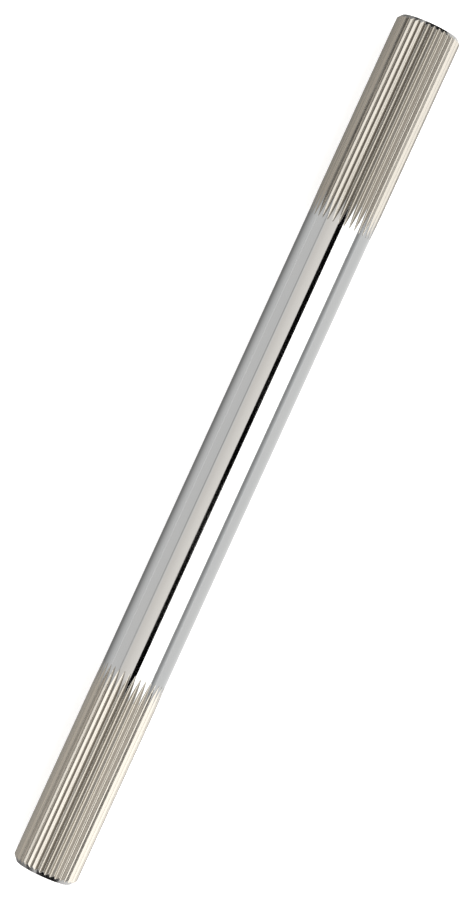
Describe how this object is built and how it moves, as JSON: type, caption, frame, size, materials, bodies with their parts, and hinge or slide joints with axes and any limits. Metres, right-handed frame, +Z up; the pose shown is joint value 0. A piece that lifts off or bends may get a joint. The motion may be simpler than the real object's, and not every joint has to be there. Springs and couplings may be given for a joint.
{
  "type": "splined shaft",
  "caption": "Polished round steel bar with fine straight splines, groove run-outs and chamfers at both ends.",
  "frame": {"origin": "middle of the bar, on its axis", "axes": "+X along the bar towards the front end, which has the smaller chamfer; +Z up with the bar lying level"},
  "size_m": [0.258, 0.019, 0.019],
  "materials": {
    "polished_steel": "mirror polished, finely brushed in the grooves"
  },
  "bodies": {
    "root": {"splined_shaft": "polished_steel"}
  },
  "joints": []
}
